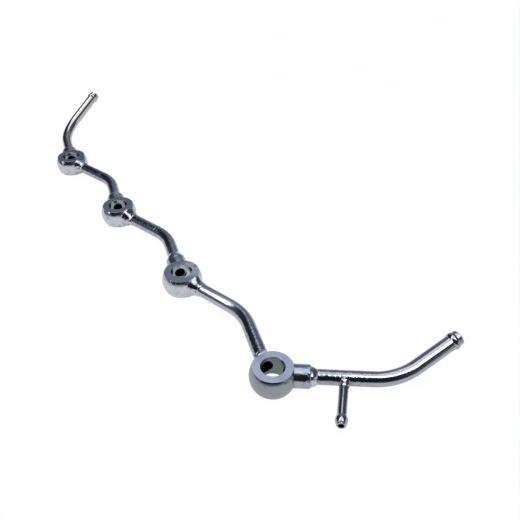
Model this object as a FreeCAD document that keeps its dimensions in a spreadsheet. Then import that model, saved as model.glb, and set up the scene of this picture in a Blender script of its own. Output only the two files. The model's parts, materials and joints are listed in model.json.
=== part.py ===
import FreeCAD, Part
import os
import math
import Sketcher

# Fuel suction pipe: four banjo eyes in a row, joined by bent link tubes,
# with a beaded hose tube at each end and a small spigot on the outlet tube.
# The row runs along X, the eyes' bores stand along Z and their lower faces lie at Z = 0.
# The origin is the centre of the outlet eye's bore at its lower face.

os.makedirs("parts", exist_ok=True)

V = FreeCAD.Vector
X_AXIS, Y_AXIS, Z_AXIS = V(1, 0, 0), V(0, 1, 0), V(0, 0, 1)

doc = FreeCAD.newDocument("FuelSuctionPipe")

# Driving dimensions, millimetres and degrees

DIMENSIONS = {
    "eye_pitch": 103.35,
    "eye_ball": 27.0,
    "eye_height": 14.0,
    "eye_bore": 14.0,
    "bore_chamfer": 0.15,
    "neck_dia": 13.7,
    "neck_reach": 21.5,
    "neck_chamfer": 1.0,
    "tube_dia": 8.8,
    "tube_wall": 0.8,
    "seat_gap": 0.05,
    "tube_setback": 0.3,
    "outlet_link_setback": 3.0,
    "link_angle": 16.0,
    "link_entry_angle": 16.8,
    "last_link_angle": 18.5,
    "last_link_offset": 2.0,
    "link_bend": 36.0,
    "far_neck_angle": 14.1,
    "far_straight": 45.7,
    "far_bend": 44.0,
    "far_turn_angle": 52.2,
    "far_rise_angle": 30.0,
    "far_run": 34.8,
    "outlet_angle": 51.5,
    "outlet_straight": 56.0,
    "outlet_bend": 41.0,
    "outlet_turn_angle": 36.0,
    "outlet_rise_angle": 32.0,
    "outlet_run": 30.5,
    "hose_bead_height": 0.75,
    "hose_bead_width": 3.8,
    "hose_lip": 2.5,
    "hose_lip_round": 0.7,
    "spigot_place": 40.0,
    "spigot_lean_angle": 7.0,
    "spigot_dia": 5.2,
    "spigot_wall": 0.9,
    "spigot_length": 32.0,
    "spigot_bead_height": 0.8,
    "spigot_bead_width": 5.2,
    "spigot_lip": 0.8,
    "spigot_lip_round": 0.4,
    "neck_braze_length": 5.0,
    "outlet_braze_length": 3.0,
    "braze_gap": 0.02,
    "ball_braze_height": 2.5,
    "ball_braze_length": 6.0,
    "outlet_ball_braze_height": 1.4,
    "outlet_ball_braze_length": 3.0,
    "spigot_braze_height": 1.0,
    "spigot_braze_length": 2.2,
}

dims = doc.addObject("Spreadsheet::Sheet", "dims")
for row, (alias, value) in enumerate(DIMENSIONS.items(), start=1):
    dims.set("A%d" % row, alias)
    dims.set("B%d" % row, str(value))
    dims.setAlias("B%d" % row, alias)
doc.recompute()


def size(alias):
    return float(dims.get(alias))


# Derived places: eyes are numbered from the far end, so eye 4 carries the outlet

EYE_COUNT = 4
MID_HEIGHT = size("eye_height") / 2
BORE_SEAM_AZIMUTH = -36
TUBE_END = size("eye_bore") / 2 + size("tube_setback")


def eye_centre(number):
    return V((number - EYE_COUNT) * size("eye_pitch"), 0, MID_HEIGHT)


def turned(base, azimuth):
    return FreeCAD.Placement(base, FreeCAD.Rotation(Z_AXIS, azimuth))


def moved(x, y=0.0, z=0.0):
    return FreeCAD.Placement(V(x, y, z), FreeCAD.Rotation())


def rolled(angle):
    return FreeCAD.Placement(V(0, 0, 0), FreeCAD.Rotation(X_AXIS, angle))


def bent(radius, turn):
    # Frame change round a bend towards +Y for a positive turn, -Y for a negative one
    side = math.copysign(radius, turn)
    rotation = FreeCAD.Rotation(Z_AXIS, turn)
    return FreeCAD.Placement(V(0, side, 0) - rotation.multVec(V(0, side, 0)), rotation)


# Sketch helpers

def plane_of(body, role):
    for feature in body.Origin.OriginFeatures:
        if feature.Role == role:
            return feature
    raise ValueError(role)


def new_body(name):
    body = doc.addObject("PartDesign::Body", name)
    body.Label = name
    return body


def new_sketch(body, name, role):
    sketch = body.newObject("Sketcher::SketchObject", name)
    sketch.AttachmentSupport = [(plane_of(body, role), "")]
    sketch.MapMode = "FlatFace"
    return sketch


def constrain(sketch, formula, *arguments):
    index = sketch.addConstraint(Sketcher.Constraint(*arguments))
    if formula:
        sketch.setExpression("Constraints[%d]" % index, formula)
    return index


def add_circle(sketch, radius, formula):
    circle = sketch.addGeometry(Part.Circle(V(0, 0, 0), Z_AXIS, radius))
    constrain(sketch, None, "Coincident", circle, 3, -1, 1)
    constrain(sketch, formula, "Radius", circle, radius)
    return circle


# Banjo eyes: a truncated ball with a neck, bored upright and crosswise

def make_eye(number, neck_azimuth, link_azimuth, link_offset):
    body = new_body("banjo_eye_%d" % number)
    ball_radius = size("eye_ball") / 2
    half = size("eye_height") / 2
    flat_radius = math.sqrt(ball_radius ** 2 - half ** 2)
    seat_radius = size("tube_dia") / 2 + size("seat_gap")

    outline = new_sketch(body, "eye_%d_outline" % number, "XZ_Plane")
    bottom = outline.addGeometry(Part.LineSegment(V(0, -half, 0), V(flat_radius, -half, 0)))
    side = outline.addGeometry(Part.ArcOfCircle(
        Part.Circle(V(0, 0, 0), Z_AXIS, ball_radius),
        -math.asin(half / ball_radius), math.asin(half / ball_radius)))
    top = outline.addGeometry(Part.LineSegment(V(flat_radius, half, 0), V(0, half, 0)))
    spine = outline.addGeometry(Part.LineSegment(V(0, half, 0), V(0, -half, 0)))
    constrain(outline, None, "Coincident", bottom, 2, side, 1)
    constrain(outline, None, "Coincident", side, 2, top, 1)
    constrain(outline, None, "Coincident", top, 2, spine, 1)
    constrain(outline, None, "Coincident", spine, 2, bottom, 1)
    constrain(outline, None, "Coincident", side, 3, -1, 1)
    constrain(outline, None, "Horizontal", bottom)
    constrain(outline, None, "Horizontal", top)
    constrain(outline, None, "PointOnObject", spine, 1, -2)
    constrain(outline, None, "Symmetric", spine, 1, spine, 2, -1, 1)
    constrain(outline, "dims.eye_ball / 2", "Radius", side, ball_radius)
    constrain(outline, "dims.eye_height / 2", "DistanceY", -1, 1, top, 2, half)
    ball = body.newObject("PartDesign::Revolution", "eye_%d_ball" % number)
    ball.Profile = outline
    ball.ReferenceAxis = (outline, ["V_Axis"])
    ball.Angle = 360
    outline.Visibility = False

    neck_ring = new_sketch(body, "eye_%d_neck_ring" % number, "YZ_Plane")
    add_circle(neck_ring, size("neck_dia") / 2, "dims.neck_dia / 2")
    neck = body.newObject("PartDesign::Pad", "eye_%d_neck" % number)
    neck.Profile = neck_ring
    neck.setExpression("Length", "dims.neck_reach")
    doc.recompute()

    rim = edges_at(neck.Shape, size("neck_reach"))
    bevel = body.newObject("PartDesign::Chamfer", "eye_%d_neck_bevel" % number)
    bevel.Base = (neck, rim)
    bevel.setExpression("Size", "dims.neck_chamfer")
    doc.recompute()

    # The bore's seam runs down its wall inside the neck's tube seat
    bore_ring = new_sketch(body, "eye_%d_bore_ring" % number, "XY_Plane")
    bore_ring.AttachmentOffset = turned(V(0, 0, 0), BORE_SEAM_AZIMUTH)
    add_circle(bore_ring, size("eye_bore") / 2, "dims.eye_bore / 2")
    bore = body.newObject("PartDesign::Pocket", "eye_%d_bore" % number)
    bore.Profile = bore_ring
    bore.Type = 1
    bore.Midplane = True
    doc.recompute()

    seat_ring = new_sketch(body, "eye_%d_tube_seat_ring" % number, "YZ_Plane")
    add_circle(seat_ring, seat_radius, "dims.tube_dia / 2 + dims.seat_gap")
    seat = body.newObject("PartDesign::Pocket", "eye_%d_tube_seat" % number)
    seat.Profile = seat_ring
    seat.Type = 1
    seat.Reversed = True
    doc.recompute()

    link_ring = new_sketch(body, "eye_%d_link_seat_ring" % number, "YZ_Plane")
    link_ring.AttachmentOffset = FreeCAD.Placement(
        V(0, 0, 0), FreeCAD.Rotation(Y_AXIS, link_azimuth - neck_azimuth))
    circle = link_ring.addGeometry(Part.Circle(V(link_offset, 0, 0), Z_AXIS, seat_radius))
    constrain(link_ring, None, "PointOnObject", circle, 3, -1)
    if link_offset:
        constrain(link_ring, "dims.last_link_offset", "DistanceX", -1, 1, circle, 3, link_offset)
    else:
        constrain(link_ring, None, "PointOnObject", circle, 3, -2)
    constrain(link_ring, "dims.tube_dia / 2 + dims.seat_gap", "Radius", circle, seat_radius)
    link_seat = body.newObject("PartDesign::Pocket", "eye_%d_link_seat" % number)
    link_seat.Profile = link_ring
    link_seat.Type = 1
    link_seat.Reversed = True
    doc.recompute()

    rims = bore_rims(link_seat.Shape)
    mouth = body.newObject("PartDesign::Chamfer", "eye_%d_bore_mouth" % number)
    mouth.Base = (link_seat, rims)
    mouth.setExpression("Size", "dims.bore_chamfer")
    doc.recompute()

    body.Placement = turned(eye_centre(number), neck_azimuth)
    return body


def edges_at(shape, x):
    # Names of the circular edges that lie in the plane at this X
    names = []
    for index, edge in enumerate(shape.Edges, start=1):
        box = edge.BoundBox
        if abs(box.XMin - x) < 1e-6 and abs(box.XMax - x) < 1e-6:
            names.append("Edge%d" % index)
    return names


def bore_rims(shape):
    # Names of the bore's two mouth edges, on the flat faces
    names = []
    for index, edge in enumerate(shape.Edges, start=1):
        box = edge.BoundBox
        flat = abs(abs(box.ZMin) - MID_HEIGHT) < 1e-6 and box.ZLength < 1e-6
        if flat and abs(box.XLength - size("eye_bore")) < 1e-3:
            names.append("Edge%d" % index)
    return names


# Tubes: a ring swept along a straight, a bend and a straight

def add_ring_profile(body, name, diameter, wall):
    ring = new_sketch(body, name, "YZ_Plane")
    add_circle(ring, size(diameter) / 2, "dims.%s / 2" % diameter)
    inner = size(diameter) / 2 - size(wall)
    add_circle(ring, inner, "dims.%s / 2 - dims.%s" % (diameter, wall))
    return ring


def add_bent_path(body, name, first, first_formula, radius, radius_formula, turn, turn_formula,
                  second, second_formula):
    # The path starts at the body's origin along +X and turns towards +Y
    side = math.radians(turn)
    centre = V(first, radius, 0)
    bend_end = V(first + radius * math.sin(side), radius * (1 - math.cos(side)), 0)
    end = bend_end + V(math.cos(side), math.sin(side), 0) * second
    path = new_sketch(body, name, "XY_Plane")
    start_line = path.addGeometry(Part.LineSegment(V(0, 0, 0), V(first, 0, 0)))
    bend = path.addGeometry(Part.ArcOfCircle(
        Part.Circle(centre, Z_AXIS, radius), -math.pi / 2, side - math.pi / 2))
    end_line = path.addGeometry(Part.LineSegment(bend_end, end))
    constrain(path, None, "Coincident", start_line, 1, -1, 1)
    constrain(path, None, "PointOnObject", start_line, 2, -1)
    constrain(path, None, "Tangent", start_line, 2, bend, 1)
    constrain(path, None, "Tangent", bend, 2, end_line, 1)
    constrain(path, first_formula, "DistanceX", start_line, 1, start_line, 2, first)
    constrain(path, radius_formula, "Radius", bend, radius)
    constrain(path, turn_formula, "Angle", end_line, side)
    constrain(path, second_formula, "Distance", end_line, second)
    return path


def sweep_tube(body, name, profile, path):
    tube = body.newObject("PartDesign::AdditivePipe", name)
    tube.Profile = profile
    tube.Spine = path
    tube.Mode = 0
    profile.Visibility = False
    path.Visibility = False
    doc.recompute()
    return tube


# Link tubes: each leaves one eye, bends once and enters the neck of the next

def link_formulas(in_angle, offset, end_gap):
    base = "(dims.eye_pitch - %s / sin(%s))" % (offset, in_angle)
    total = "(dims.link_angle + %s)" % in_angle
    tangent = "dims.link_bend * tan(%s / 2)" % total
    first = "%s * sin(%s) / sin(%s) - %s - dims.eye_bore / 2 - dims.tube_setback" % (
        base, in_angle, total, tangent)
    second = "%s * sin(dims.link_angle) / sin(%s) + %s / tan(%s) - %s - dims.eye_bore / 2 - %s" % (
        base, total, offset, in_angle, tangent, end_gap)
    return first, second, total


def link_lengths(in_angle, offset, end_gap):
    out_turn = math.radians(size("link_angle"))
    in_turn = math.radians(in_angle)
    base = size("eye_pitch") - offset / math.sin(in_turn)
    tangent = size("link_bend") * math.tan((out_turn + in_turn) / 2)
    first = base * math.sin(in_turn) / math.sin(out_turn + in_turn) - tangent - TUBE_END
    second = base * math.sin(out_turn) / math.sin(out_turn + in_turn) + offset / math.tan(in_turn)
    return first, second - tangent - size("eye_bore") / 2 - end_gap


def make_link(number):
    last = number == EYE_COUNT - 1
    body = new_body("link_tube_%d" % number)
    in_name = "last_link_angle" if last else "link_entry_angle"
    gap_name = "outlet_link_setback" if last else "tube_setback"
    offset = size("last_link_offset") if last else 0.0
    offset_formula = "dims.last_link_offset" if last else "0"
    first, second = link_lengths(size(in_name), offset, size(gap_name))
    first_formula, second_formula, turn_formula = link_formulas(
        "dims." + in_name, offset_formula, "dims." + gap_name)
    ring = add_ring_profile(body, "link_%d_ring" % number, "tube_dia", "tube_wall")
    path = add_bent_path(
        body, "link_%d_path" % number, first, first_formula, size("link_bend"), "dims.link_bend",
        size("link_angle") + size(in_name), turn_formula, second, second_formula)
    sweep_tube(body, "link_%d_sweep" % number, ring, path)
    # Turned over about its first straight, the bend turns back towards the row
    start = turned(eye_centre(number), size("link_angle")) * moved(TUBE_END)
    body.Placement = start * rolled(180)
    return body


# Hose tubes: made from the beaded mouth inwards, so the bead lies on the body's own axis

def add_bead(body, prefix, radius, formulas, bead, bead_width, lip, lip_round):
    # A swaged bead round the tube, one lip's length behind the mouth
    outline = new_sketch(body, prefix + "_bead_outline", "XY_Plane")
    start, end = lip, lip + bead_width
    sagitta_radius = (bead_width ** 2 / 4 + bead ** 2) / (2 * bead)
    centre_y = radius + bead - sagitta_radius
    half_angle = math.asin(bead_width / 2 / sagitta_radius)
    crown = outline.addGeometry(Part.ArcOfCircle(
        Part.Circle(V((start + end) / 2, centre_y, 0), Z_AXIS, sagitta_radius),
        math.pi / 2 - half_angle, math.pi / 2 + half_angle))
    base = outline.addGeometry(Part.LineSegment(V(start, radius, 0), V(end, radius, 0)))
    constrain(outline, None, "Coincident", crown, 2, base, 1)
    constrain(outline, None, "Coincident", base, 2, crown, 1)
    constrain(outline, None, "Horizontal", base)
    constrain(outline, formulas["lip"], "DistanceX", -1, 1, base, 1, start)
    constrain(outline, formulas["width"], "DistanceX", base, 1, base, 2, bead_width)
    constrain(outline, formulas["radius"], "DistanceY", -1, 1, base, 1, radius)
    constrain(outline, formulas["crown"], "Radius", crown, sagitta_radius)
    crown_ring = body.newObject("PartDesign::Revolution", prefix + "_bead")
    crown_ring.Profile = outline
    crown_ring.ReferenceAxis = (outline, ["H_Axis"])
    crown_ring.Angle = 360
    outline.Visibility = False
    doc.recompute()

    mouth = [name for name in edges_at(crown_ring.Shape, 0.0)
             if crown_ring.Shape.getElement(name).BoundBox.YMax > radius - 1e-3]
    rounding = body.newObject("PartDesign::Fillet", prefix + "_lip_round")
    rounding.Base = (crown_ring, mouth)
    rounding.setExpression("Radius", formulas["round"])
    doc.recompute()


def bead_formulas(family, diameter):
    height = "dims.%s_bead_height" % family
    width = "dims.%s_bead_width" % family
    return {
        "lip": "dims.%s_lip" % family,
        "width": width,
        "radius": "dims.%s / 2" % diameter,
        "crown": "(%s * %s / 4 + %s * %s) / (2 * %s)" % (width, width, height, height, height),
        "round": "dims.%s_lip_round" % family,
    }


def make_hose_tube(name, family, eye_number, azimuth, rise, side):
    # family names the tube's own dimensions; side is +1 or -1, the way the bend turns seen from above
    run, bend = size(family + "_run"), size(family + "_bend")
    turn, straight = size(family + "_turn_angle"), size(family + "_straight")
    body = new_body(name)
    ring = add_ring_profile(body, name + "_ring", "tube_dia", "tube_wall")
    path = add_bent_path(
        body, name + "_path", run, "dims.%s_run" % family, bend, "dims.%s_bend" % family,
        turn, "dims.%s_turn_angle" % family,
        straight - TUBE_END, "dims.%s_straight - dims.eye_bore / 2 - dims.tube_setback" % family)
    sweep_tube(body, name + "_sweep", ring, path)
    add_bead(body, name, size("tube_dia") / 2, bead_formulas("hose", "tube_dia"),
             size("hose_bead_height"), size("hose_bead_width"), size("hose_lip"), size("hose_lip_round"))
    mouth = turned(eye_centre(eye_number), azimuth) * rolled(side * rise) * moved(straight)
    mouth = mouth * bent(bend, side * turn) * moved(run)
    # The body looks back into its own tube, with its bend on the inner side
    back = FreeCAD.Placement(V(0, 0, 0), FreeCAD.Rotation(Z_AXIS, 180))
    body.Placement = mouth * back * (rolled(180) if side > 0 else rolled(0))
    return body


# Spigot: a small beaded tube that stands off the outlet tube, over a port in its wall

def spigot_frame():
    # Starts on the outlet tube's axis and points out along the spigot
    root = turned(eye_centre(EYE_COUNT), size("outlet_angle")) * moved(size("spigot_place"))
    return root * turned(V(0, 0, 0), -90 - size("spigot_lean_angle"))


def drill_port(tube_body):
    port = tube_body.newObject("PartDesign::SubtractiveCylinder", "spigot_port")
    port.setExpression("Radius", "dims.spigot_dia / 2 - dims.spigot_wall")
    port.setExpression("Height", "dims.tube_dia")
    upright = FreeCAD.Placement(V(0, 0, 0), FreeCAD.Rotation(Y_AXIS, 90))
    port.Placement = tube_body.Placement.inverse() * spigot_frame() * upright
    doc.recompute()


def make_spigot():
    body = new_body("vent_spigot")
    ring = add_ring_profile(body, "spigot_ring", "spigot_dia", "spigot_wall")
    tube = body.newObject("PartDesign::Pad", "spigot_tube")
    tube.Profile = ring
    tube.setExpression("Length", "dims.spigot_length")
    doc.recompute()
    add_bead(body, "spigot", size("spigot_dia") / 2, bead_formulas("spigot", "spigot_dia"),
             size("spigot_bead_height"), size("spigot_bead_width"), size("spigot_lip"),
             size("spigot_lip_round"))
    # Its root is cut to the outlet tube's round back
    saddle = body.newObject("PartDesign::SubtractiveCylinder", "spigot_saddle")
    saddle.setExpression("Radius", "dims.tube_dia / 2 + dims.braze_gap")
    saddle.setExpression("Height", "dims.spigot_length")
    lean = FreeCAD.Rotation(Z_AXIS, size("spigot_lean_angle"))
    upright = FreeCAD.Rotation(X_AXIS, 90)
    turn = lean.multiply(upright)
    middle = V(size("spigot_length"), 0, 0) - turn.multVec(V(0, 0, size("spigot_length") / 2))
    saddle.Placement = FreeCAD.Placement(middle, turn)
    doc.recompute()
    body.Placement = spigot_frame() * moved(size("spigot_length")) * turned(V(0, 0, 0), 180)
    return body


# Brazing: the filler's cones and hollow fillets round each joint, each in the frame of its own tube

def ring_solid(edges):
    return Part.Face(Part.Wire(edges)).revolve(V(0, 0, 0), X_AXIS, 360)


def line(start, end):
    return Part.LineSegment(start, end).toShape()


def hollow_curve(start, toe):
    # A circular fillet from the start point down to the toe, where it is tangent to the tube
    run, rise = start.x - toe.x, start.y - toe.y
    radius = (run ** 2 + rise ** 2) / (2 * rise)
    half_sweep = math.atan2(abs(run), radius - rise) / 2
    side = math.copysign(math.sin(half_sweep), run)
    middle = toe + V(side, 1 - math.cos(half_sweep), 0) * radius
    return Part.Arc(start, middle, toe).toShape()


def add_braze(name, solid, placement):
    feature = doc.addObject("Part::Feature", name)
    feature.Label = name
    feature.Shape = solid
    feature.Placement = placement
    return feature


def make_neck_braze(number, azimuth, length):
    inner = size("tube_dia") / 2 + size("braze_gap")
    end = size("neck_reach")
    corner = V(end, inner, 0)
    rim = V(end, size("neck_dia") / 2 - size("neck_chamfer"), 0)
    toe = V(end + length, inner, 0)
    solid = ring_solid([line(corner, rim), line(rim, toe), line(toe, corner)])
    return add_braze("neck_braze_%d" % number, solid, turned(eye_centre(number), azimuth))


def ball_point(height):
    return V(math.sqrt((size("eye_ball") / 2) ** 2 - height ** 2), height, 0)


def make_link_braze(number, azimuth, offset, height, length):
    inner = size("tube_dia") / 2 + size("braze_gap")
    outer = inner + height
    root, crest = ball_point(inner), ball_point(outer)
    toe = V(root.x + length, inner, 0)
    # The ring starts inside the ball and the ball is then cut away from it
    start = V(size("eye_bore") / 2, inner, 0)
    top = V(size("eye_bore") / 2, outer, 0)
    ring = ring_solid([line(start, top), line(top, crest), hollow_curve(crest, toe), line(toe, start)])
    ball = Part.makeSphere(size("eye_ball") / 2 + size("braze_gap"), V(0, -offset, 0))
    placement = turned(eye_centre(number), azimuth) * moved(0, offset)
    return add_braze("link_braze_%d" % number, ring.cut(ball), placement)


def make_spigot_braze():
    inner = size("spigot_dia") / 2 + size("braze_gap")
    outer = inner + size("spigot_braze_height")
    back = size("tube_dia") / 2 + size("braze_gap")
    start, top = V(0, inner, 0), V(0, outer, 0)
    shoulder = V(math.sqrt(back ** 2 - inner ** 2), outer, 0)
    toe = V(back + size("spigot_braze_length"), inner, 0)
    ring = ring_solid([line(start, top), line(top, shoulder), hollow_curve(shoulder, toe), line(toe, start)])
    along = FreeCAD.Rotation(Z_AXIS, 90 + size("spigot_lean_angle")).multVec(X_AXIS)
    tube = Part.makeCylinder(back, 6 * back, along * -3 * back, along)
    return add_braze("spigot_braze", ring.cut(tube), spigot_frame())


neck_azimuths = {
    1: 180 - size("far_neck_angle"),
    2: 180 - size("link_entry_angle"),
    3: 180 - size("link_entry_angle"),
    4: size("outlet_angle"),
}
link_azimuths = {number: size("link_angle") for number in range(1, EYE_COUNT)}
link_azimuths[EYE_COUNT] = 180 - size("last_link_angle")
link_offsets = {number: 0.0 for number in range(1, EYE_COUNT)}
link_offsets[EYE_COUNT] = size("last_link_offset")

pieces = []
for number in range(1, EYE_COUNT + 1):
    pieces.append(make_eye(number, neck_azimuths[number], link_azimuths[number], link_offsets[number]))
for number in range(1, EYE_COUNT):
    pieces.append(make_link(number))
pieces.append(make_hose_tube("far_hose_tube", "far", 1, neck_azimuths[1], size("far_rise_angle"), -1))
pieces.append(make_hose_tube("outlet_hose_tube", "outlet", 4, neck_azimuths[4], size("outlet_rise_angle"), 1))
drill_port(pieces[-1])
pieces.append(make_spigot())
for number in range(1, EYE_COUNT + 1):
    last = number == EYE_COUNT
    length = size("outlet_braze_length") if last else size("neck_braze_length")
    pieces.append(make_neck_braze(number, neck_azimuths[number], length))
for number in range(1, EYE_COUNT):
    pieces.append(make_link_braze(number, link_azimuths[number], 0.0, size("ball_braze_height"),
                                  size("ball_braze_length")))
pieces.append(make_link_braze(EYE_COUNT, link_azimuths[EYE_COUNT], size("last_link_offset"),
                              size("outlet_ball_braze_height"), size("outlet_ball_braze_length")))
pieces.append(make_spigot_braze())

doc.recompute()
for item in doc.Objects:
    if "Invalid" in item.State or "Error" in item.State:
        raise RuntimeError("%s failed" % item.Name)
for piece in pieces:
    if piece.Shape.isNull() or not piece.Shape.isValid() or len(piece.Shape.Solids) != 1:
        raise RuntimeError("%s has no valid single solid" % piece.Label)
    piece.Shape.exportStep("parts/%s.step" % piece.Label)
    box = piece.Shape.BoundBox
    print("%-18s volume %9.1f  X %8.2f %8.2f  Y %7.2f %7.2f  Z %6.2f %6.2f" % (
        piece.Label, piece.Shape.Volume, box.XMin, box.XMax, box.YMin, box.YMax, box.ZMin, box.ZMax))
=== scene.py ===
import json
import math

import bmesh
import bpy
from mathutils import Euler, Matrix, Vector, noise
from mathutils.bvhtree import BVHTree


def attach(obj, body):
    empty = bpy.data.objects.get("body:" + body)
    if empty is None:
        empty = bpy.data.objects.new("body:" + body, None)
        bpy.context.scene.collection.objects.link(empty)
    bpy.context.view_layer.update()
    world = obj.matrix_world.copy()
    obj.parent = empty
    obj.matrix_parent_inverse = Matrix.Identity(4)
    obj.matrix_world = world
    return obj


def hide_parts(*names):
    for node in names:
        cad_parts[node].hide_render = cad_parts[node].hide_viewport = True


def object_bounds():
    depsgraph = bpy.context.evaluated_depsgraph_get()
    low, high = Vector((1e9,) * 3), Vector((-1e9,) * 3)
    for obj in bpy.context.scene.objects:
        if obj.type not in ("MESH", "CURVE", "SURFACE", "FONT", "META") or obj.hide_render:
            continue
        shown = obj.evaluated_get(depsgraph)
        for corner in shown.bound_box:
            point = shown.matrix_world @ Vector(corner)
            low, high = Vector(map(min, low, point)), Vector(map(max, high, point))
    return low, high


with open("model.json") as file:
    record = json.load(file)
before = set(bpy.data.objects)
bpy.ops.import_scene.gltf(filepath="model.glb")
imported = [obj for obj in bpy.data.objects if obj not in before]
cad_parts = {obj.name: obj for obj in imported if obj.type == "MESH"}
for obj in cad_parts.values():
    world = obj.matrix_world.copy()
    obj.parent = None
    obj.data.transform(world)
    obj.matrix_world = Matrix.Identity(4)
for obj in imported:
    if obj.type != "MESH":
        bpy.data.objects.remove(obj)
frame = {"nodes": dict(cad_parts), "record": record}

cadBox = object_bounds()
mm = 0.001
mounts = {mount["name"]: mount for mount in frame["record"]["mounts"]}
slotOf = {subpart["node"]: subpart["material_slot"] for subpart in frame["record"]["subparts"]}
eyePitch = mounts["outlet_eye_bore"]["pos_m"][0] - mounts["third_eye_bore"]["pos_m"][0]
eyeHeight = mounts["outlet_eye_upper_face"]["pos_m"][2]
print("frame loaded:", len(frame["nodes"]), "nodes")


# Shader maths: a wrapped socket that adds Math nodes when it is used in an expression.
# With no socket it is the start of a tree
class Wire:
    def __init__(self, tree, socket=None):
        self.tree = tree
        self.socket = socket

    def node(self, kind, settings=None, inputs=None, output=0):
        made = self.tree.nodes.new(kind)
        for name, value in (settings or {}).items():
            if name == "stops":
                setStops(made.color_ramp, value)
            else:
                setattr(made, name, value)
        for name, value in (inputs or {}).items():
            if isinstance(value, Wire):
                self.tree.links.new(value.socket, made.inputs[name])
            else:
                made.inputs[name].default_value = value
        return Wire(self.tree, made.outputs[output]) if made.outputs else made

    def maths(self, operation, *values):
        return self.node("ShaderNodeMath", {"operation": operation}, dict(enumerate(values)))

    def __add__(self, other):
        return self.maths("ADD", self, other)

    def __radd__(self, other):
        return self.maths("ADD", other, self)

    def __sub__(self, other):
        return self.maths("SUBTRACT", self, other)

    def __rsub__(self, other):
        return self.maths("SUBTRACT", other, self)

    def __mul__(self, other):
        return self.maths("MULTIPLY", self, other)

    def __rmul__(self, other):
        return self.maths("MULTIPLY", other, self)

    def step(self, low, high):
        # 0 below low and 1 above high, with a soft rise between them
        settings = {"interpolation_type": "SMOOTHSTEP"}
        return self.node("ShaderNodeMapRange", settings, {"Value": self, "From Min": low, "From Max": high})

    def pick(self, low, high):
        # A colour between two colours
        settings = {"data_type": "RGBA"}
        return self.node("ShaderNodeMix", settings, {"Factor": self, 6: low, 7: high}, 2)


def setStops(ramp, stops):
    # A colour ramp's stops are given as place: colour
    while len(ramp.elements) < len(stops):
        ramp.elements.new(0.5)
    for element, (place, colour) in zip(ramp.elements, sorted(stops.items())):
        element.position = place
        element.color = colour


def newMaterial(name):
    material = bpy.data.materials.new(name)
    material.use_nodes = True
    material.node_tree.nodes.clear()
    return material, Wire(material.node_tree)


def objectPlace(start):
    return start.node("ShaderNodeTexCoord", output="Object")


def splitPlace(place):
    parts = place.node("ShaderNodeSeparateXYZ", None, {0: place}).socket.node.outputs
    return [Wire(place.tree, part) for part in parts]


def noiseOn(place, scale, detail, roughness=0.5):
    values = {"Vector": place, "Scale": scale, "Detail": detail, "Roughness": roughness}
    return place.node("ShaderNodeTexNoise", {"noise_dimensions": "3D"}, values)


def rampOf(factor, stops):
    return factor.node("ShaderNodeValToRGB", {"stops": stops}, {"Fac": factor})


def bumpOf(height, strength, distance):
    return height.node("ShaderNodeBump", None, {"Height": height, "Strength": strength, "Distance": distance})


def closeMetal(start, colour, roughness, normal):
    values = {"Base Color": colour, "Roughness": roughness, "Metallic": 1.0, "Normal": normal}
    surface = start.node("ShaderNodeBsdfPrincipled", None, values)
    start.node("ShaderNodeOutputMaterial", None, {"Surface": surface})


# Plated tube: bright and glossy, with stretches that the brazing heat left dark or satin. The dark mottle is
# also partly a painted reflection of the dark room.
# darkLevels and satinLevels say how much of each there is along X, in millimetres
tubeLook = {
    "farTint": (0.555, 0.545, 0.53, 1),
    "linkTint": (0.47, 0.49, 0.55, 1),
    "outletTint": (0.42, 0.425, 0.46, 1),
    # darkTint: partly darker plating, partly a painted reflection of the dark room
    "darkTint": (0.285, 0.30, 0.37, 1),
    "satinTint": (0.43, 0.445, 0.50, 1),
    # insideTint: dull bare steel inside the tube passages, darkened to near black as painted shade
    "insideTint": (0.035, 0.035, 0.038, 1),
    "gloss": 0.08,
    "satinGloss": 0.30,
    "darkLevels": {
        -400: 0.0, -320: 0.0, -290: 0.9, -250: 1.0, -238: 0.5, -228: 0.35, -200: 0.4, -175: 0.4,
        -145: 1.0, -136: 0.5, -122: 0.35, -100: 0.1, -82: 0.02, -50: 0.1, -32: 0.8, -14: 0.9,
        8: 0.9, 28: 0.9, 35: 0.4, 40: 0.03, 60: 0.0,
    },
    "satinLevels": {
        -400: 0.0, -350: 0.05, -340: 0.6, -320: 1.0, -300: 0.1, -250: 0.15, -240: 0.8, -215: 1.0,
        -200: 0.1, -146: 0.15, -136: 0.8, -112: 1.0, -98: 0.05, -50: 0.05, -25: 0.3, 8: 0.3, 18: 0.15,
        33: 0.1, 40: 0.02, 60: 0.0,
    },
    "from": -400,
    "to": 60,
    "linksFrom": (-345 * mm, -330 * mm),
    "outletFrom": (0, 12 * mm),
    "mottleScale": 300,
    "mottleEdges": (0.40, 0.52),
    "satinScale": 520,
    "satinEdges": (0.36, 0.60),
    "markShare": 0.9,
    "insideDull": 0.3,
    "blobScale": 520,
    "blobShare": 1.6,
    "pitScale": 1000,
    "pitShare": 0.5,
    "pitHeight": 0.22 * mm,
    "plainShare": 0.04,
    "bump": 0.7,
}


def insideMark(start):
    # 1 on the walls of bores and tube passages, from the piece's own attribute
    return start.node("ShaderNodeAttribute", {"attribute_name": "insideWall"}, None, "Fac")


def levelAlong(along, levels, look):
    start, span = look["from"], look["to"] - look["from"]
    stops = {(x - start) / span: (level, level, level, 1) for x, level in levels.items()}
    return rampOf(along * (1 / (span * mm)) - start / span, stops)


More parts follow.
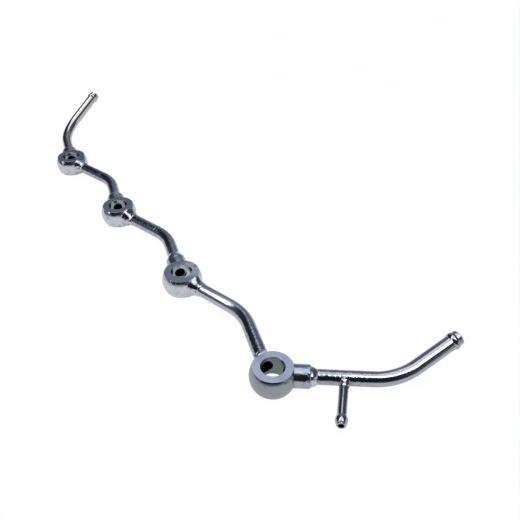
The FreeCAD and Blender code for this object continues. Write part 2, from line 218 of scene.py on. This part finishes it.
def platedTube(name, look):
    material, start = newMaterial(name)
    place = objectPlace(start)
    along = splitPlace(place)[0]
    darkened = levelAlong(along, look["darkLevels"], look)
    dulled = levelAlong(along, look["satinLevels"], look)
    # Dark mottle: partly darker plating, partly a painted reflection of the dark room
    mottle = noiseOn(place, look["mottleScale"], 3).step(*look["mottleEdges"]) * darkened
    satin = noiseOn(place, look["satinScale"], 2).step(*look["satinEdges"]) * dulled
    blobs = noiseOn(place, look["blobScale"], 2)
    pits = noiseOn(place, look["pitScale"], 3, 0.6)
    links = along.step(*look["linksFrom"])
    outlet = along.step(*look["outletFrom"])
    bright = outlet.pick(links.pick(look["farTint"], look["linkTint"]), look["outletTint"])
    mottled = (mottle * look["markShare"]).pick(bright, look["darkTint"])
    outside = (satin * look["markShare"]).pick(mottled, look["satinTint"])
    inside = insideMark(start)
    # Inside walls take the near-black insideTint: painted shade over dull bare steel
    colour = inside.pick(outside, look["insideTint"])
    satinRise = satin * (look["satinGloss"] - look["gloss"])
    roughness = satinRise + look["gloss"] + inside * look["insideDull"]
    worn = darkened.maths("MAXIMUM", darkened, dulled)
    wornShare = worn * (1 - look["plainShare"]) + look["plainShare"]
    height = (blobs * look["blobShare"] + pits * look["pitShare"]) * wornShare
    closeMetal(start, colour, roughness, bumpOf(height, look["bump"], look["pitHeight"]))
    return material


# Eyes: satin turned balls with flat matt faces; the outlet eye is duller than the others
eyeLook = {
    "ballTint": (0.60, 0.63, 0.67, 1),
    "outletTint": (0.32, 0.335, 0.375, 1),
    "stainTint": (0.22, 0.24, 0.30, 1),
    "faceTint": (0.27, 0.295, 0.37, 1),
    "outletFaceTint": (0.46, 0.49, 0.59, 1),
    "faceStainTint": (0.26, 0.29, 0.37, 1),
    # Painted light: a lighter patch on the third eye's upper face
    "paintedLightTint": (0.60, 0.65, 0.72, 1),
    "paintedLightPlace": (-101.5 * mm, 9.0 * mm, 14 * mm),
    "paintedLightFrom": 5 * mm,
    "paintedLightTo": 12 * mm,
    "paintedLightShare": 0.8,
    # A ragged navy spot on the third eye, just under its upper face
    "navySpotTint": (0.10, 0.20, 0.46, 1),
    "navySpotPlace": (-102.8 * mm, 10.3 * mm, 13.6 * mm),
    "navySpotReach": 2.4 * mm,
    "navySpotRagged": 1.5 * mm,
    "navySpotShare": 0.8,
    "insideTint": (0.60, 0.64, 0.66, 1),
    "outletInsideTint": (0.17, 0.21, 0.23, 1),
    # Seat walls: unplated steel, darkened to near black as painted shade
    "seatShadeTint": (0.03, 0.03, 0.035, 1),
    "ballGloss": 0.20,
    "faceGloss": 0.42,
    "outletFaceGloss": 0.32,
    "stainScale": 210,
    "stainEdges": (0.48, 0.7),
    "stainShare": 0.6,
    "stainGloss": 0.05,
    "scratchScale": 130,
    "scratchWidth": 0.012,
    "scratchShare": 0.35,
    "ballBlobScale": 300,
    "ballBlobHeight": 9.0,
    "ballBlobFrom": 6.5 * mm,
    "ballBlobTo": 11.5 * mm,
    "outletBlobHeight": 1.2,
    "cloudScale": 90,
    "cloudEdges": (0.38, 0.66),
    "cloudShare": 0.5,
    "ringScale": 900,
    "ringShare": 0.4,
    "grainScale": 1500,
    "grainShare": 0.6,
    "grainHeight": 0.04 * mm,
    "stainHeight": 0.5,
    "bump": 0.7,
    "faceEdge": 0.22 * mm,
    "edgeSoft": 1.05,
    "boreWall": 7.2 * mm,
    "neckFrom": 13.7 * mm,
    "neckGloss": 0.27,
    "outletNeckGloss": 0.17,
    "neckTint": (0.50, 0.52, 0.585, 1),
    "outletNeckTint": (0.40, 0.415, 0.475, 1),
    "neckBlobScale": 420,
    "neckBlobHeight": 3.0,
    "neckEndBlobHeight": 12.0,
    "neckEndFrom": 18.5 * mm,
    "neckEndTo": 20.5 * mm,
}


def fromEye(place):
    # The place as seen from the nearest eye's centre; the eyes stand at even steps along X
    along, across, up = splitPlace(place)
    wrapped = along.maths("WRAP", along, eyePitch / 2, -eyePitch / 2)
    return place.node("ShaderNodeCombineXYZ", None, {"X": wrapped, "Y": across, "Z": up - eyeHeight / 2})


def lengthOf(vector):
    return vector.node("ShaderNodeVectorMath", {"operation": "LENGTH"}, {0: vector}, "Value")


def awayFrom(place, spot):
    return place.node("ShaderNodeVectorMath", {"operation": "DISTANCE"}, {0: place, 1: spot}, "Value")


def platedEye(name, look):
    material, start = newMaterial(name)
    place = objectPlace(start)
    along, up = splitPlace(place)[::2]
    upperFace = up.step(eyeHeight - look["faceEdge"], eyeHeight - look["faceEdge"] / 2)
    lowerFace = 1 - up.step(look["faceEdge"] / 2, look["faceEdge"])
    face = upperFace + lowerFace
    stain = noiseOn(place, look["stainScale"], 4, 0.6).step(*look["stainEdges"])
    cloud = noiseOn(place, look["cloudScale"], 3, 0.55).step(*look["cloudEdges"])
    grain = noiseOn(place, look["grainScale"], 3)
    rings = noiseOn(up.node("ShaderNodeCombineXYZ", None, {"Z": up}), look["ringScale"], 2)
    near = fromEye(place)
    flatNear = near.node("ShaderNodeVectorMath", {"operation": "MULTIPLY"}, {0: near, 1: (1, 1, 0)})
    neck = lengthOf(near).step(look["neckFrom"], look["neckFrom"] * look["edgeSoft"])
    outlet = along.step(-eyePitch * 0.6, -eyePitch * 0.4)
    neckTint = outlet.pick(look["neckTint"], look["outletNeckTint"])
    ballTint = neck.pick(outlet.pick(look["ballTint"], look["outletTint"]), neckTint)
    scratchNoise = noiseOn(place, look["scratchScale"], 2)
    scratch = 1 - scratchNoise.maths("ABSOLUTE", scratchNoise - 0.5).step(0.0, look["scratchWidth"])
    marks = stain * look["stainShare"] + scratch * outlet * (1 - neck) * look["scratchShare"]
    ballColour = marks.maths("MINIMUM", marks, 1.0).pick(ballTint, look["stainTint"])
    faceTint = outlet.pick(look["faceTint"], look["outletFaceTint"])
    clouded = (cloud * look["cloudShare"]).pick(faceTint, look["faceStainTint"])
    # Painted light: lightens the third eye's upper face round one spot
    paintedLight = 1 - awayFrom(place, look["paintedLightPlace"]).step(look["paintedLightFrom"], look["paintedLightTo"])
    faceColour = (paintedLight * look["paintedLightShare"]).pick(clouded, look["paintedLightTint"])
    # Ragged navy spot round one place on the third eye
    navySpotAway = awayFrom(place, look["navySpotPlace"]) + (grain - 0.5) * look["navySpotRagged"]
    navySpot = 1 - navySpotAway.step(0.0, look["navySpotReach"])
    outside = (navySpot * look["navySpotShare"]).pick(face.pick(ballColour, faceColour), look["navySpotTint"])
    seat = lengthOf(flatNear).step(look["boreWall"], look["boreWall"] * look["edgeSoft"])
    # Seat walls beyond the bore get the near-black painted shade
    insideColour = seat.pick(outlet.pick(look["insideTint"], look["outletInsideTint"]), look["seatShadeTint"])
    colour = insideMark(start).pick(outside, insideColour)
    neckGloss = look["neckGloss"] - outlet * (look["neckGloss"] - look["outletNeckGloss"])
    bodyGloss = neck * (neckGloss - look["ballGloss"]) + look["ballGloss"]
    faceGloss = look["faceGloss"] - outlet * (look["faceGloss"] - look["outletFaceGloss"])
    roughness = bodyGloss + face * (faceGloss - look["ballGloss"]) - stain * look["stainGloss"]
    neckEnd = lengthOf(near).step(look["neckEndFrom"], look["neckEndTo"])
    neckBlobHeight = neck * look["neckBlobHeight"] + neckEnd * look["neckEndBlobHeight"]
    neckBlobs = noiseOn(place, look["neckBlobScale"], 2) * neckBlobHeight
    ballBlobHeight = look["ballBlobHeight"] - outlet * (look["ballBlobHeight"] - look["outletBlobHeight"])
    ballBlobHeight = ballBlobHeight * up.step(look["ballBlobFrom"], look["ballBlobTo"]) * (1 - face)
    blobs = noiseOn(place, look["ballBlobScale"], 2) * ballBlobHeight + neckBlobs
    fine = grain * look["grainShare"] + rings * look["ringShare"] * (1 - face)
    height = fine + stain * look["stainHeight"] + blobs
    closeMetal(start, colour, roughness, bumpOf(height, look["bump"], look["grainHeight"]))
    return material


# Brazing: lumpy filler under the same plating
brazeLook = {
    "tint": (0.56, 0.575, 0.61, 1),
    "darkTint": (0.16, 0.17, 0.21, 1),
    "gloss": 0.09,
    "stainScale": 380,
    "stainEdges": (0.36, 0.44),
    "grainScale": 1200,
    "grainHeight": 0.1 * mm,
    "bump": 0.6,
}


def platedBraze(name, look):
    material, start = newMaterial(name)
    place = objectPlace(start)
    stain = noiseOn(place, look["stainScale"], 2).step(*look["stainEdges"])
    grain = noiseOn(place, look["grainScale"], 3, 0.55)
    colour = stain.pick(look["darkTint"], look["tint"])
    closeMetal(start, colour, look["gloss"], bumpOf(grain, look["bump"], look["grainHeight"]))
    return material


slotMaterials = {
    "tube_plating": platedTube("tubePlating", tubeLook),
    "spigot_plating": platedTube("spigotPlating", tubeLook),
    "eye_plating": platedEye("eyePlating", eyeLook),
    "braze_plating": platedBraze("brazePlating", brazeLook),
}
print("materials made:", len(slotMaterials))


# Each node is shown by a welded copy, so that reflections run smoothly over its facets
weldSet = {
    "weldDistance": 0.002 * mm,
    "creaseAngle": math.radians(32),
    "rayLift": 0.01 * mm,
    "widestBore": 15 * mm,
    "facing": -0.5,
}


def markInside(form):
    # A wall is inside when its own piece faces it across a bore
    tree = BVHTree.FromBMesh(form)
    mark = form.faces.layers.float.new("insideWall")
    for face in form.faces:
        start = face.calc_center_median() + face.normal * weldSet["rayLift"]
        hit, normal = tree.ray_cast(start, face.normal, weldSet["widestBore"])[:2]
        face[mark] = 1.0 if hit and normal.dot(face.normal) < weldSet["facing"] else 0.0


def weldedCopy(nodeName, shape=None):
    source = frame["nodes"][nodeName]
    slotName = slotOf[nodeName]
    form = bmesh.new()
    form.from_mesh(source.data)
    bmesh.ops.remove_doubles(form, verts=form.verts, dist=weldSet["weldDistance"])
    markInside(form)
    if shape:
        shape(form)
    for face in form.faces:
        face.smooth = True
        face.material_index = 0
    for edge in form.edges:
        edge.smooth = len(edge.link_faces) == 2 and edge.calc_face_angle() < weldSet["creaseAngle"]
    data = bpy.data.meshes.new(nodeName + "_surface")
    form.to_mesh(data)
    form.free()
    data.materials.append(slotMaterials[slotName])
    piece = bpy.data.objects.new(nodeName + "_surface", data)
    bpy.context.scene.collection.objects.link(piece)
    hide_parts(nodeName)
    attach(piece, "root")


# Filler lies in soft lumps: its surface is pushed in and out by a slow noise
lumpLook = {
    "longestEdge": 0.6 * mm,
    "rounds": 4,
    "scale": 200,
    "height": 0.9 * mm,
    "bias": 0.2 * mm,
    "clearOfFloor": 0.05 * mm,
}


def lumpy(form):
    for turn in range(lumpLook["rounds"]):
        longEdges = [edge for edge in form.edges if edge.calc_length() > lumpLook["longestEdge"]]
        if not longEdges:
            break
        bmesh.ops.subdivide_edges(form, edges=longEdges, cuts=1, use_grid_fill=True)
        bmesh.ops.triangulate(form, faces=[face for face in form.faces if len(face.verts) > 3])
    form.normal_update()
    moves = []
    for vert in form.verts:
        lump = noise.noise(vert.co * lumpLook["scale"]) * lumpLook["height"]
        moves.append(vert.normal * (lump + lumpLook["bias"]))
    for vert, move in zip(form.verts, moves):
        vert.co += move
        vert.co.z = max(vert.co.z, cadBox[0].z + lumpLook["clearOfFloor"])


for nodeName in sorted(frame["nodes"]):
    weldedCopy(nodeName, lumpy if "braze" in nodeName else None)
print("surfaces welded:", len(frame["nodes"]))


# Studio: a pale floor that shows white to the camera and keeps a faint shadow.
# The lit paper ends a little way off, so low reflections in the metal turn dark
floorLook = {
    "size": 6.0,
    "tint": (0.95, 0.96, 1.0, 1),
    "shadowShare": 0.05,
    "mirrorShadowShare": 0.35,
    "cameraGlow": (1.018, 1.018, 1.018, 1),
    "paperGlow": (0.98, 0.98, 0.98, 1),
    "darkGlow": (0.08, 0.08, 0.08, 1),
    "paperStart": 0.03,
    "paperEnd": 0.15,
}


def outsideBox(place, low, high):
    # Distance from a rectangle on the floor, 0 inside it
    gaps = []
    for value, near, far in zip(splitPlace(place), low, high):
        away = value.maths("ABSOLUTE", value - (near + far) / 2) - (far - near) / 2
        gaps.append(value.maths("MAXIMUM", away, 0.0))
    return lengthOf(place.node("ShaderNodeCombineXYZ", None, {"X": gaps[0], "Y": gaps[1]}))


def makeFloor(look):
    form = bmesh.new()
    bmesh.ops.create_grid(form, x_segments=1, y_segments=1, size=look["size"] / 2)
    bmesh.ops.translate(form, verts=form.verts, vec=(0, 0, cadBox[0].z))
    data = bpy.data.meshes.new("studioFloor")
    form.to_mesh(data)
    form.free()
    floor = bpy.data.objects.new("studioFloor", data)
    bpy.context.scene.collection.objects.link(floor)
    material, start = newMaterial("floorPaper")
    cameraRay, glossyRay, clearRay = [
        start.node("ShaderNodeLightPath", output=ray)
        for ray in ("Is Camera Ray", "Is Glossy Ray", "Is Transmission Ray")]
    seen = cameraRay.maths("MINIMUM", cameraRay + glossyRay + clearRay, 1.0)
    away = outsideBox(objectPlace(start), cadBox[0].xy, cadBox[1].xy)
    paperEnd = away.step(look["paperStart"], look["paperEnd"])
    mirrored = paperEnd.pick(look["paperGlow"], look["darkGlow"])
    shown = cameraRay.pick(mirrored, look["cameraGlow"])
    paper = start.node("ShaderNodeBsdfDiffuse", None, {"Color": look["tint"]})
    glow = start.node("ShaderNodeEmission", None, {"Color": shown, "Strength": 1.0})
    shadow = look["mirrorShadowShare"] - cameraRay * (look["mirrorShadowShare"] - look["shadowShare"])
    share = seen * (1 - shadow)
    mixed = start.node("ShaderNodeMixShader", None, {"Fac": share, 1: paper, 2: glow})
    start.node("ShaderNodeOutputMaterial", None, {"Surface": mixed})
    data.materials.append(material)


makeFloor(floorLook)


# Room seen in the metal: walls under a pale ceiling, both set round the azimuth in degrees
roomLook = {
    "cameraGlow": (1, 1, 1, 1),
    "wallTint": (0.84, 0.90, 1.14),
    "wallLevels": {
        -180: 0.04, -155: 0.035, -135: 0.09, -115: 0.20, -95: 0.03, -60: 0.02, -40: 0.022, -15: 0.035,
        0: 0.09, 20: 0.13, 45: 0.10, 75: 0.08, 105: 0.14, 122: 0.30, 150: 0.36, 168: 0.14, 180: 0.04,
    },
    "ceiling": (1.38, 1.42, 1.57, 1),
    "ceilingLines": {
        -180: 56, -150: 55, -130: 44, -112: 38, -95: 60, -60: 70, -30: 72, -15: 72, 0: 68, 15: 60,
        35: 60, 60: 63, 100: 62, 122: 57, 140: 48, 152: 46, 158: 49, 164: 55, 180: 56,
    },
    "ceilingSofts": {-180: 4.5, -95: 6, -60: 12, -5: 12, 12: 5, 180: 4.5},
    "floorGlow": (0.12, 0.13, 0.15, 1),
    "horizonStart": -5,
    "horizonEnd": 0,
    "strip": (2.8, 2.85, 3.0, 1),
    "stripTurn": 66,
    "stripHalf": 6.5,
    "stripSoft": 2,
    "stripNear": 0.05,
    "sideGlow": (1.0, 1.02, 1.08, 1),
    "sideTurn": 42,
    "sideHalf": 24,
    "sideTop": 14,
    "sideSoft": 10,
}


def band(value, middle, half, soft):
    # 1 within half of the middle, falling to 0 over the soft edge
    away = value.maths("ABSOLUTE", value - middle)
    return 1 - away.step(half, half + soft)


def around(azimuth, colours):
    # A colour that changes with the azimuth, from a table in degrees
    stops = {turn / 360 + 0.5: colour for turn, colour in colours.items()}
    return rampOf(azimuth * (1 / 360) + 0.5, stops)


def angleAround(azimuth, angles):
    # An angle that changes with the azimuth, kept in the ramp as a share of a right angle
    shares = {turn: angle / 90 for turn, angle in angles.items()}
    return around(azimuth, {turn: (share, share, share, 1) for turn, share in shares.items()}) * 90


def makeRoom(look):
    world = bpy.data.worlds.new("studioRoom")
    bpy.context.scene.world = world
    world.use_nodes = True
    world.node_tree.nodes.clear()
    start = Wire(world.node_tree)
    along, across, up = splitPlace(start.node("ShaderNodeTexCoord", output="Generated"))
    degree = 180 / math.pi
    elevation = up.maths("ARCSINE", up) * degree
    azimuth = up.maths("ARCTAN2", across, along) * degree
    red, green, blue = look["wallTint"]
    levels = look["wallLevels"].items()
    walls = around(azimuth, {turn: (level * red, level * green, level * blue, 1) for turn, level in levels})
    line = angleAround(azimuth, look["ceilingLines"])
    soft = angleAround(azimuth, look["ceilingSofts"])
    sky = (elevation - line).step(soft * -1, soft).pick(walls, look["ceiling"])
    stripAngle = up.maths("ARCTAN2", up, along * -1) * degree
    nearSide = 1 - across.step(-look["stripNear"], look["stripNear"])
    strip = band(stripAngle, look["stripTurn"], look["stripHalf"], look["stripSoft"]) * nearSide
    lit = strip.pick(sky, look["strip"])
    low = 1 - elevation.step(look["sideTop"] - look["sideSoft"], look["sideTop"] + look["sideSoft"])
    side = band(azimuth, look["sideTurn"], look["sideHalf"], look["sideSoft"]) * low
    lit = side.pick(lit, look["sideGlow"])
    above = elevation.step(look["horizonStart"], look["horizonEnd"])
    room = above.pick(look["floorGlow"], lit)
    shown = start.node("ShaderNodeLightPath", output="Is Camera Ray").pick(room, look["cameraGlow"])
    background = start.node("ShaderNodeBackground", None, {"Color": shown, "Strength": 1.0})
    start.node("ShaderNodeOutputWorld", None, {"Surface": background})


makeRoom(roomLook)


# Softbox: azimuth and elevation as seen from the middle of the part, in degrees
softboxes = {
    "keyBox": {"azimuth": 5, "elevation": 60, "distance": 1.3, "wide": 0.25, "high": 0.62, "watts": 1.9},
}
middle = (cadBox[0] + cadBox[1]) / 2


def makeSoftbox(name, look):
    light = bpy.data.lights.new(name, "AREA")
    light.shape = "RECTANGLE"
    light.size = look["wide"]
    light.size_y = look["high"]
    light.energy = look["watts"]
    turn, rise = math.radians(look["azimuth"]), math.radians(look["elevation"])
    way = Vector((math.cos(turn) * math.cos(rise), math.sin(turn) * math.cos(rise), math.sin(rise)))
    holder = bpy.data.objects.new(name, light)
    holder.location = middle + way * look["distance"]
    holder.rotation_euler = way.to_track_quat("Z", "Y").to_euler()
    bpy.context.scene.collection.objects.link(holder)


for name, look in softboxes.items():
    makeSoftbox(name, look)
print("studio lit:", len(softboxes), "softboxes")


# Camera at the photograph's own place: turns are about X, Y and Z, in degrees
cameraSet = {"place": (0.164017, -0.125586, 0.24629), "turns": (52.5132, -0.0625, 54.5899), "lens": 38.33}
cameraData = bpy.data.cameras.new("photoCamera")
cameraData.sensor_width = 36
cameraData.lens = cameraSet["lens"]
cameraData.clip_start = 0.01
camera = bpy.data.objects.new("photoCamera", cameraData)
camera.location = cameraSet["place"]
camera.rotation_euler = Euler([math.radians(turn) for turn in cameraSet["turns"]])
bpy.context.scene.collection.objects.link(camera)
bpy.context.scene.camera = camera
bpy.context.scene.view_settings.view_transform = "Standard"
